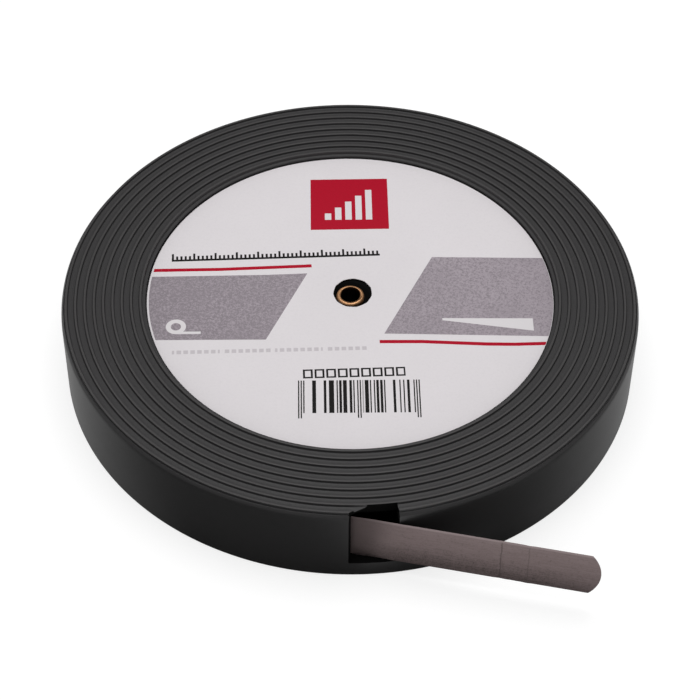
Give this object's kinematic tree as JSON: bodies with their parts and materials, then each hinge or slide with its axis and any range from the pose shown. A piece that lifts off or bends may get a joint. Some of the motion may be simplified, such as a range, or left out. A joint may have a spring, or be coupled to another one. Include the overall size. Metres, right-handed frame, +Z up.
{
  "type": "feeler gauge tape roll",
  "caption": "Flat round plastic case holding a wound strip of thin spring steel for feeler gauges, with a rounded end standing out of the exit slot.",
  "frame": {"origin": "on the case's axis, at the underside of its foot ring", "axes": "+Z up along the case's axis, through the label; +X the way the tape is pulled out; the tape's straight run lies on the -Y side"},
  "size_m": [0.1334, 0.133, 0.0203],
  "materials": {
    "black_plastic": "moulded, fine satin texture",
    "label_paper": "smooth printed paper",
    "brass": "rolled, slightly dull",
    "spring_steel": "brown-grey tempered, fine lengthwise scratches"
  },
  "bodies": {
    "case": {"case_base": "black_plastic", "case_lid": "black_plastic", "label": "label_paper", "eyelet": "brass"},
    "coil": {"tape_coil": "spring_steel"},
    "tape": {"tape_end": "spring_steel"}
  },
  "joints": [
    {"name": "coil_turn", "type": "hinge", "parent": "case", "child": "coil", "pos_m": [0, 0, 0.01], "axis": [0, 0, 1], "range_deg": [0, 16.4]},
    {"name": "tape_pull", "type": "slide", "parent": "case", "child": "tape", "axis": [1, 0, 0], "range_m": [0, 0.018]}
  ],
  "couplings": [
    {"joint": "tape_pull", "follows": "coil_turn", "m_per_rad": 0.0626}
  ]
}
